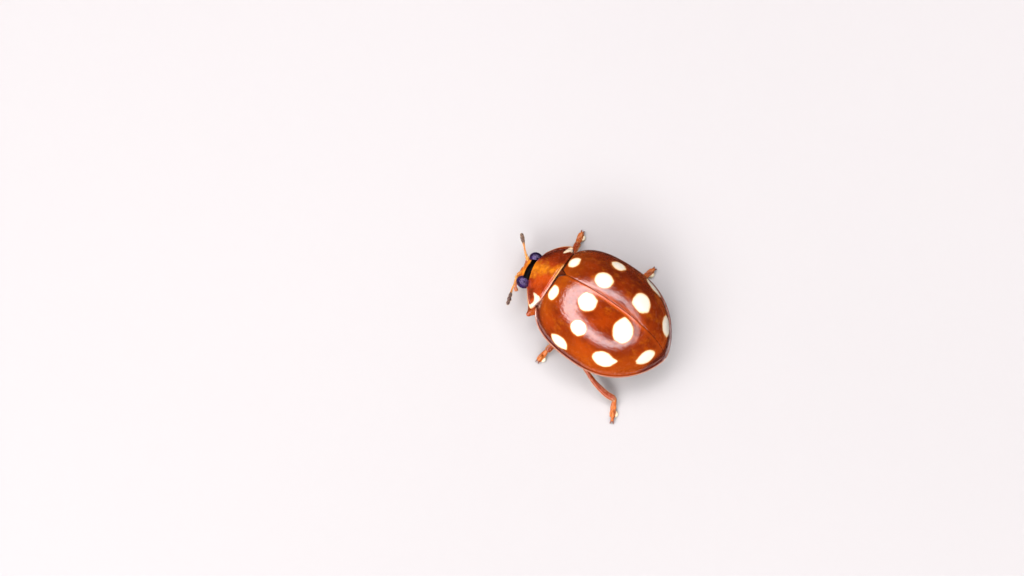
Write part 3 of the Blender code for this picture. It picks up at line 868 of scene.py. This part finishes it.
def make_mouth():
    """Upper lip, jaws, lower lip and its short palps, below the front of the face."""
    paint = chitin("mouth_paint", (0.42, 0.1, 0.012), (0.66, 0.22, 0.03), 6, 0.3, 0.4, 26)
    dark = chitin("jaw_paint", (0.035, 0.008, 0.004), (0.14, 0.03, 0.008), 8, 0.2, 0.5, 30)
    mouth, jaws = Shape(), Shape()
    mouth.add(*lip((0, -2.825, 0.66), 0.25, 0.055, 0.09, 0.25, 0.12))
    mouth.add(*lip((0, -2.85, 0.55), 0.195, 0.04, 0.07, 0.35, 0.25, 0.02))
    mouth.add(*ball((0, -2.76, 0.43), (0.26, 0.17, 0.1)))
    mouth.add(*ball((0, -2.87, 0.4), (0.15, 0.07, 0.06)))
    for side, _ in SIDES:
        for shape, rows, steps, sides in ((mouth, MAXILLA, 10, 16), (mouth, LIP_PALP, 8, 10),
                                          (jaws, JAW, 16, 12)):
            shape.add(*sweep(np.array(rows) * (side, 1, 1, 1, 1), steps, sides))
    for shape in (mouth, jaws):
        shape.points = in_head(shape.points)
    make_piece("mouthparts", mouth, paint, "mouthparts", "mouth")
    make_piece("jaws", jaws, dark, "mouthparts")


# Feelers and palps

# Feelers from the face to the tip, as the photograph shows them
FEELER_PATHS = {
    "left": ((0.3, -2.86, 0.7), (0.53, -2.895, 0.69), (0.715, -2.835, 0.67),
             (0.92, -2.79, 0.645), (1.16, -2.71, 0.61), (1.38, -2.64, 0.59)),
    "right": ((-0.1, -2.88, 0.7), (-0.21, -3.03, 0.68), (-0.33, -3.16, 0.665),
              (-0.455, -3.275, 0.65), (-0.6, -3.41, 0.62), (-0.725, -3.53, 0.59)),
}
# Feeler segments from the root: share of the length and half width at the end
FEELER_SEGMENTS = ((0.15, 0.056), (0.09, 0.044), (0.1, 0.032), (0.07, 0.03), (0.065, 0.03),
                   (0.06, 0.031), (0.06, 0.033), (0.065, 0.038), (0.11, 0.056), (0.11, 0.066),
                   (0.12, 0.056))
CLUB_SEGMENTS = 3
PALP_PATH = ((0.2, -2.86, 0.42), (0.34, -2.9, 0.36), (0.5, -2.84, 0.33), (0.66, -2.72, 0.33))
# Slim palp segments: where each starts and ends along the palp, and its half widths
PALP_SEGMENTS = ((0.0, 0.22, (0.035, 0.045, 0.04)), (0.23, 0.46, (0.035, 0.05, 0.05)),
                 (0.47, 0.62, (0.035, 0.048, 0.045)))


def along_line(line, share):
    """The place at a share of a line's length."""
    steps = np.concatenate(([0], np.cumsum(np.linalg.norm(np.diff(line, axis=0), axis=1))))
    return np.array([np.interp(share * steps[-1], steps, line[:, axis]) for axis in range(3)])


def segment_rows(line, start, end, halves, flatness=1.0):
    """Rows for sweep from one share of a line to another, with half widths along the way."""
    shares = np.linspace(start, end, len(halves))
    return [(*along_line(line, share), half, half * flatness) for share, half in zip(shares, halves)]


def feeler_paint():
    p = Paint("feeler_paint", 0.35, coat=0.2)
    shaft = p.mix(p.cloud(8, 3, 0.5), (0.62, 0.22, 0.03), (0.8, 0.38, 0.07))
    dusky = p.mix(p.cloud(14, 3, 0.5), (0.045, 0.02, 0.014), (0.13, 0.06, 0.045))
    return p.finish(p.mix("club", shaft, dusky), p.relief(p.noise(40, 3), 0.004))


def make_feelers(setae):
    """Two feelers of eleven segments; the last three make the club, and the one before is dusky."""
    paint = feeler_paint()
    last = len(FEELER_SEGMENTS) - 1
    for _, name in SIDES:
        line = smooth_line(FEELER_PATHS[name], 60)
        shape, start = Shape(), 0.0
        for k, (length, half) in enumerate(FEELER_SEGMENTS):
            in_club = k > last - CLUB_SEGMENTS
            low, high, end = (0.55, 0.92, 0.75) if k == last else (0.55, 0.8, 1.0)
            rows = segment_rows(line, start + 0.004, start + length - 0.006,
                                (half * low, half * high, half, half * end), 0.75 if in_club else 1.0)
            shell = sweep(rows, 12, 14, bulge=(0.4, 0.9 if k == last else 0.35))
            dusk = 1.0 if in_club else 0.35 * (k == last - CLUB_SEGMENTS)
            shape.add(*shell, club=dusk)
            direction = unit(np.subtract(rows[-1][:3], rows[0][:3]))
            setae.grow(shell, 46 if in_club else 10, direction, 0.045, stand=0.45)
            start += length
        make_piece(f"feeler_{name}", shape, paint, "feeler", f"antenna_{name}")


def make_palps(setae):
    """Maxillary palps: three slim segments and a hatchet-shaped last one."""
    paint = chitin("palp_paint", (0.4, 0.1, 0.03), (0.62, 0.2, 0.07), 8, 0.32, 0.3, 30)
    for side, name in SIDES:
        line = smooth_line(in_head(np.array(PALP_PATH) * (side, 1, 1)), 40)
        shape = Shape()
        for start, end, halves in PALP_SEGMENTS:
            shape.add(*sweep(segment_rows(line, start, end, halves), 8, 12, bulge=(0.6, 0.5)))
        hatchet = segment_rows(line, 0.63, 0.94, (0.028, 0.05, 0.062, 0.056), 0.55)
        shell = sweep(hatchet, 14, 18, bulge=(0.5, 0.35))
        shape.add(*shell)
        direction = unit(along_line(line, 1.0) - along_line(line, 0.5))
        setae.grow(shell, 40, direction, 0.035, stand=0.5)
        make_piece(f"palp_{name}_segments", shape, paint, "mouthparts", f"palp_{name}")


# Setae

BRISTLE_RADIUS = 0.0022
BRISTLE_POINTS = 7              # two rings of three, and the tip
BRISTLE_FACES = ((0, 1, 2), (0, 1, 4, 3), (3, 4, 6), (1, 2, 5, 4), (4, 5, 6), (2, 0, 3, 5), (5, 3, 6))
# Places of the points in a bristle's patch on the OFBake map, and the size of the patch
BRISTLE_PATCH = ((0, 0), (1, 0), (0, 1), (0, 0.5), (1, 0.5), (0.5, 1), (1, 1))
PATCH_SIZE = 0.003


class Setae:
    """Fine bristles, each a thin bent cone, gathered into one mesh."""

    def __init__(self):
        self.points, self.roots = [], []

    def grow(self, shell, count, lie, length, stand=0.5, where=None):
        """Bristles spread over a shell, lying along a direction and standing off by a share."""
        points, faces = shell
        corners = points[np.array([face[:3] for face in faces])]
        normal = np.cross(corners[:, 1] - corners[:, 0], corners[:, 2] - corners[:, 0])
        area = np.linalg.norm(normal, axis=1)
        normal, middle = unit(normal), corners.mean(1)
        inwards = ((middle - points.mean(0)) * normal).sum(1) < 0
        normal[inwards] *= -1
        if where is not None:
            area = area * where(middle, normal)
        chosen = random.choice(len(faces), count, p=area / area.sum())
        mix = random.dirichlet((1, 1, 1), count)
        root, out = (corners[chosen] * mix[:, :, None]).sum(1), normal[chosen]
        lie = unit(lie + random.normal(0, 0.15, out.shape))
        flat = unit(lie - (lie * out).sum(1, keepdims=True) * out)
        length = length * random.uniform(0.7, 1.2, (count, 1))
        direction = unit(stand * out + (1 - stand) * flat)
        side = unit(np.cross(direction, out + 0.01 * flat))
        other = np.cross(side, direction)
        bend = root + direction * length * 0.55
        tip = bend + unit(direction + 0.5 * flat - 0.15 * out) * length * 0.45
        ring = [BRISTLE_RADIUS * (math.cos(turn) * side + math.sin(turn) * other)
                for turn in (0, 2 * math.pi / 3, 4 * math.pi / 3)]
        low = [root - 0.3 * BRISTLE_RADIUS * direction + around for around in ring]
        high = [bend + 0.7 * around for around in ring]
        self.points.append(np.stack((*low, *high, tip), 1).reshape(-1, 3))
        self.roots.append(root[:, :2])

    def finish(self):
        paint = chitin("setae_paint", (0.62, 0.36, 0.15), (0.84, 0.62, 0.36), 3, 0.45, 0, 8)
        points = np.vstack(self.points)
        faces = [[start + corner for corner in face]
                 for start in range(0, len(points), BRISTLE_POINTS) for face in BRISTLE_FACES]
        piece = make_piece("setae", Shape().add(points, faces), paint, "leg")
        places = np.vstack(self.roots)
        low, high = places.min(0), places.max(0)
        root_uv = 0.01 + 0.97 * (places - low) / (high - low)
        patch = PATCH_SIZE * np.array(BRISTLE_PATCH)
        corner = np.empty(len(piece.data.loops), int)
        piece.data.loops.foreach_get("vertex_index", corner)
        uv = root_uv[corner // BRISTLE_POINTS] + patch[corner % BRISTLE_POINTS]
        piece.data.uv_layers.new(name="OFBake").data.foreach_set("uv", uv.ravel())


# Legs

KNEE_SHIFTS = {"front_left": (0.09, -0.01, 0)}
BOWS = {"hind_left": 0.09}      # how far a shin bows outwards, where it shows
PLACES = [f"{row}_{side}" for row in ("front", "middle", "hind") for side in ("left", "right")]
LIMB_SIDES = 20
CLAW_TRIM = 0.14                # the solids' feet reach this far past the claws
ANKLE_Z = 0.2

# Rows end with a half width and a half height. Thigh: share of the way to the knee, and rise
THIGH = ((0, 0, 0.075, 0.07), (0.34, 0.015, 0.125, 0.105), (0.7, 0.012, 0.125, 0.1),
         (1, 0, 0.075, 0.075))
# Shin: share of the way to the ankle, and share of the bow
SHIN = ((0, 0, 0.075, 0.072), (0.12, 0.4, 0.066, 0.064), (0.4, 1, 0.08, 0.072),
        (0.75, 0.8, 0.1, 0.084), (0.95, 0, 0.1, 0.086))
# Foot: share of the way from the ankle to the claws, and height
FOOT_ROOT = ((-0.05, 0.19, 0.06, 0.055), (0.08, 0.145, 0.07, 0.055), (0.22, 0.105, 0.085, 0.05),
             (0.31, 0.085, 0.085, 0.038))
CLAW_SEGMENT = ((0.44, 0.08, 0.04, 0.034), (0.6, 0.115, 0.044, 0.038), (0.78, 0.112, 0.05, 0.042),
                (0.9, 0.085, 0.052, 0.044))
# Claw and its tooth: how far forward, outward and up from the claw's root
CLAW = ((0, 0, 0, 0.022, 0.024), (0.045, 0.014, 0.002, 0.019, 0.021),
        (0.08, 0.024, -0.028, 0.013, 0.014), (0.088, 0.026, -0.07, 0.003, 0.003))
TOOTH = ((0.02, 0.008, -0.01, 0.016, 0.016), (0.042, 0.012, -0.04, 0.004, 0.004))


def leg_paint():
    p = Paint("leg_paint", 0.27, coat=0.5, coat_roughness=0.08, specular=0.6)
    colour = p.layers(
        p.mix(p.cloud(4), (0.36, 0.05, 0.006), (0.56, 0.105, 0.012)),
        ("joint", 0, 1, 0, 0.6, (0.2, 0.03, 0.008)),
        (p.noise(7, 3), 0.55, 0.75, 0, 0.3, (0.7, 0.2, 0.03)),
        ("edge", 0.7, 0.95, 0, 0.85, (0.78, 0.36, 0.12)),
        ("ridge", 0.2, 0.8, 0, 0.6, (0.2, 0.022, 0.004)))
    return p.finish(colour, p.dimples(26, 0.003, 15), (8, 0.2, 0.34))


def foot_paint():
    p = Paint("foot_paint", 0.35, coat=0.2)
    cloud = p.cloud(6)
    colour = p.layers(p.mix(cloud, (0.4, 0.08, 0.01), (0.58, 0.165, 0.02)),
                      ("pad", p.mix(cloud, (0.78, 0.66, 0.42), (0.9, 0.82, 0.6))),
                      ("claw", (0.22, 0.04, 0.012)))
    return p.finish(colour, p.relief(p.noise(30, 3), 0.004))


def lobe(centre, forward, side, length, half, thickness, tilt=0.0):
    """One flattened, heart-half lobe of a foot segment."""
    across = unit(np.cross(forward, UP)) * side
    root = centre - forward * length * 0.45
    tip = centre + forward * length * 0.5 + across * half * 0.55 - UP * tilt
    middle = centre + across * half * 0.42
    rows = [(*root, half * 0.38, thickness * 0.8), (*middle, half * 0.62, thickness),
            (*tip, half * 0.42, thickness * 0.7)]
    return sweep(rows, 12, 14, bulge=(0.8, 0.9))


def make_foot(ankle, tip, setae):
    """A foot on the floor: two lobed segments with pads, a slim claw segment and two claws."""
    shape = Shape()
    start = ankle * (1, 1, 0)
    flat = tip * (1, 1, 0) - start
    forward = unit(flat)
    across = unit(np.cross(forward, UP))
    flat = flat - CLAW_TRIM * forward

    def at(share, height):
        return start + flat * share + UP * height

    def rows_at(table):
        return [(*at(share, height), *halves) for share, height, *halves in table]
    shape.add(*sweep(rows_at(FOOT_ROOT), 12))
    for side, _ in SIDES:
        shape.add(*lobe(at(0.28, 0.082), forward, side, 0.19, 0.085, 0.04, 0.02))
        shape.add(*lobe(at(0.52, 0.074), forward, side, 0.28, 0.092, 0.038, 0.02))
        hind_pad = 0.16 if across[1] * side > 0 else 0.085
        for share, half, length in ((0.3, 0.08, 0.13), (0.58, hind_pad, 0.14)):
            points, faces = lobe(at(share, 0.042), forward, side, length, half, 0.05)
            points[:, 2] = np.maximum(points[:, 2], 0.0)
            shape.add(points, faces, pad=1.0)
            setae.grow((points, faces), 34, forward, 0.032, stand=0.6,
                       where=lambda place, normal: (np.abs(normal[:, 2]) < 0.8) + 0.01)
    shell = sweep(rows_at(CLAW_SEGMENT), 16, 14)
    shape.add(*shell)
    setae.grow(shell, 24, forward, 0.05)
    for side, _ in SIDES:
        root = at(0.92, 0.078) + side * 0.024 * across
        axes = np.array([forward, side * across, UP])
        for table, steps, sides in ((CLAW, 14, 10), (TOOTH, 6, 8)):
            rows = [(*(root + row[:3] @ axes), *row[3:]) for row in np.array(table)]
            shape.add(*sweep(rows, steps, sides), claw=1.0)
    return shape


def make_thigh(hip, knee, bend, side, setae):
    """The hip's socket, the joint below it, and the thigh."""
    shape = Shape()
    shape.add(*ball((hip[0] - side * 0.1, hip[1] + 0.02, 0.6), (0.19, 0.155, 0.13)))
    shape.add(*ball((hip[0], hip[1], 0.5), (0.105, 0.1, 0.09)), joint=0.4)
    outwards = unit((knee - hip) * (1, 1, 0))
    start = np.array([hip[0], hip[1], 0.48]) + outwards * 0.04
    rows = [(*(from_to(start, bend, share) + UP * rise), *halves) for share, rise, *halves in THIGH]
    shell = sweep(rows, 26, LIMB_SIDES)
    setae.grow(shell, 60, outwards, 0.05, stand=0.35)
    return shape.add(*shell)


def make_shin(bend, ankle, bow, setae):
    """The knee and the shin, with pale edges, a dark ridge and a brush of bristles at its end."""
    shape = Shape()
    end = np.array([ankle[0], ankle[1], ANKLE_Z])
    run = end - bend
    out = unit(np.cross(run, UP)) * bow
    rows = [(*(bend + run * share + out * bowed), *halves) for share, bowed, *halves in SHIN]
    shell = sweep(rows, 26, LIMB_SIDES, bulge=(0.9, 0.75))
    turns = 2 * math.pi * (np.arange(len(shell[0])) % LIMB_SIDES + 0.5) / LIMB_SIDES
    turns = turns + 0.3 * math.copysign(1, run[1])
    shape.add(*shell, edge=np.abs(np.cos(turns)), ridge=np.sin(turns))
    shape.add(*ball(bend, (0.078, 0.078, 0.074), 3), joint=0.6)
    setae.grow(shell, 110, unit(run), 0.06, stand=0.4)
    setae.grow(shell, 50, unit(run), 0.065, stand=0.3,
               where=lambda place, normal: (np.linalg.norm(place - end, axis=1) < 0.16) + 1e-3)
    return shape


def make_legs(setae):
    shell, sole = leg_paint(), foot_paint()
    for place in PLACES:
        knee = meeting(f"femur_{place}", f"tibia_{place}")
        ankle = meeting(f"tibia_{place}", f"tarsus_{place}")
        hip = far_end(f"femur_{place}", knee)
        tip = far_end(f"tarsus_{place}", ankle)
        side = math.copysign(1, hip[0])
        bend = knee + UP * 0.03 + KNEE_SHIFTS.get(place, (0, 0, 0))
        thigh = make_thigh(hip, knee, bend, side, setae)
        shin = make_shin(bend, ankle, side * BOWS.get(place, 0.03), setae)
        make_piece(f"thigh_{place}", thigh, shell, "leg", f"femur_{place}")
        make_piece(f"shin_{place}", shin, shell, "leg", f"tibia_{place}")
        make_piece(f"foot_{place}", make_foot(ankle, tip, setae), sole, "foot", f"tarsus_{place}")


# Studio

CAMERA_TILT = math.radians(17.5)    # off the vertical, towards the beetle's left
CAMERA_SIDE = math.radians(7.6)
CAMERA_ROLL = math.radians(117.3)
CAMERA_AIM = (1.037, -2.794, 1.1)
VIEW_WIDTH = 30.93                  # what the picture's width spans at the aim
LENS = 100.0

FLOOR_FLAT = (60, 120, 180)         # beyond the last of these it runs on to FLOOR_RADIUS
FLOOR_RADIUS = 250                  # where the backdrop starts to curve up
FLOOR_REACH = 1.6                   # how much farther it goes, as a share of the radius
FLOOR_RISE = 290
FLOOR_SIDES = 96

RING_INNER = (38.5, 9.5, -1)        # edge of the ring from the lens, and its shift right and up
RING_OUTER = (52.5, 0, 1)
RING_SOFT = 4
RING_LIGHT = 6.7
SKY_LIGHT = 0.02
SKY_TINT = (1.0, 0.94, 0.97)
KEY_PLACE = (75, 20, 60)            # from the middle of the floor under the beetle
KEY_SIZE = 40
KEY_WATTS = 0.038


def make_camera():
    turn = (Matrix.Rotation(CAMERA_SIDE, 3, "Z") @ Matrix.Rotation(CAMERA_TILT, 3, "Y")
            @ Matrix.Rotation(CAMERA_ROLL, 3, "Z"))
    data = bpy.data.cameras.new("camera")
    data.lens = LENS
    data.clip_start, data.clip_end = 0.001, 10.0
    distance = VIEW_WIDTH * LENS / data.sensor_width
    camera = add_object("camera", data)
    camera.location = Vector(HOME + np.array(CAMERA_AIM) * MM) + turn.col[2] * distance * MM
    camera.rotation_euler = turn.to_euler()
    bpy.context.scene.camera = camera
    return turn


def make_floor():
    """A pale floor that curves up into a backdrop all round."""
    p = Paint("floor_paint", 0.6, specular=0.3)
    paint = p.finish(p.mix(p.cloud(0.02, 2, 0.5, 0.3, 0.7), (0.5, 0.497, 0.49), (0.53, 0.527, 0.52)))
    turns = np.linspace(0, 1, 25)
    reach = np.concatenate((FLOOR_FLAT, FLOOR_RADIUS * (1 + FLOOR_REACH * turns)))
    height = np.concatenate((np.zeros(len(FLOOR_FLAT)), FLOOR_RISE * turns ** 2))
    angles = np.linspace(0, 2 * math.pi, FLOOR_SIDES, endpoint=False)
    points = [(r * math.cos(a) * MM, r * math.sin(a) * MM, z * MM)
              for r, z in zip(reach, height) for a in angles]
    faces = [tuple(range(FLOOR_SIDES))]
    faces += [face[::-1] for face in ring_faces(len(reach), FLOOR_SIDES)]
    floor = add_mesh("floor", points, faces, paint)
    floor.visible_glossy = False


def ring_edge(sky, turn, edge, inside, outside):
    """A disc of light round the lens, in degrees, with a soft edge."""
    angle, right, up = edge
    axis = turn @ Vector((math.radians(right), math.radians(up), 1)).normalized()
    place = sky.add("ShaderNodeTexCoord", {}, "Generated")
    dot = sky.add("ShaderNodeVectorMath", {0: place, 1: axis}, "Value", operation="DOT_PRODUCT")
    dark, light = (math.cos(math.radians(angle + soft)) for soft in (RING_SOFT, -RING_SOFT))
    return sky.between(dot, dark, light, outside, inside)


def make_light(turn):
    """Faint light from all round, a bright ring of it round the lens, and a soft key light."""
    world = bpy.data.worlds.new("studio")
    bpy.context.scene.world = world
    world.use_nodes = True
    sky = Nodes(world.node_tree)
    ring = sky.math("MULTIPLY", ring_edge(sky, turn, RING_OUTER, 1, 0),
                    ring_edge(sky, turn, RING_INNER, 0, 1))
    strength = sky.math("MULTIPLY_ADD", ring, RING_LIGHT, SKY_LIGHT)
    sky.feed(sky.tree.nodes["Background"].inputs, {"Color": SKY_TINT, "Strength": strength})
    key = bpy.data.lights.new("key", "AREA")
    key.shape = "DISK"
    key.size = KEY_SIZE * MM
    key.energy = KEY_WATTS
    lamp = add_object("key", key)
    lamp.visible_glossy = False
    lamp.location = Vector(KEY_PLACE) * MM
    lamp.rotation_euler = (-lamp.location).to_track_quat("-Z", "Y").to_euler()
    bpy.context.scene.view_settings.view_transform = "Standard"


make_light(make_camera())
make_floor()
make_wing_cases()
make_scutellum()
make_pronotum()
underside = belly_paint()
make_trunk(underside)
make_prosternum(underside)
make_head()
make_eyes()
make_mouth()
bristles = Setae()
make_feelers(bristles)
make_palps(bristles)
make_legs(bristles)
bristles.finish()
